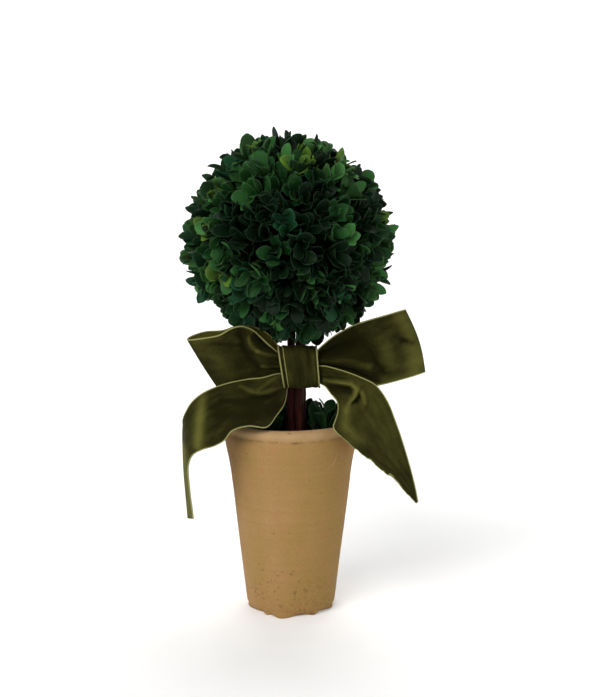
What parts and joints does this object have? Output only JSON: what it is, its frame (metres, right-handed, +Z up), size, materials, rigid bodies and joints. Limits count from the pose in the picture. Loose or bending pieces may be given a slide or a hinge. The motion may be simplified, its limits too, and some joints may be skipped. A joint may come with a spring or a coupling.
{
  "type": "box topiary ball",
  "caption": "Preserved box topiary ball on bare stems in a buff clay pot, with an olive velvet ribbon bow tied under the ball.",
  "frame": {"origin": "centre of the pot's flat underside", "axes": "+Z up through the pot, the stems and the ball; the bow's knot faces -Y; +X to the right as seen from in front"},
  "size_m": [0.1869, 0.166, 0.374],
  "materials": {
    "clay": "unglazed buff clay, matt",
    "fill": "dark, rough",
    "bark": "dark red-brown bark",
    "leaf": "preserved box leaf, satin",
    "velvet": "olive velvet with pale selvedges"
  },
  "bodies": {
    "root": {"pot": "clay", "pot_fill": "fill", "stem_left": "bark", "stem_front": "bark", "stem_back": "bark", "leaf_ball": "leaf", "foot_leaves_right": "leaf", "foot_leaves_left": "leaf", "foot_leaves_back": "leaf", "bow_knot": "velvet", "bow_band": "velvet", "bow_loop_left": "velvet", "bow_loop_right": "velvet", "bow_tail_left": "velvet", "bow_tail_left_end": "velvet", "bow_tail_right": "velvet"}
  },
  "joints": []
}
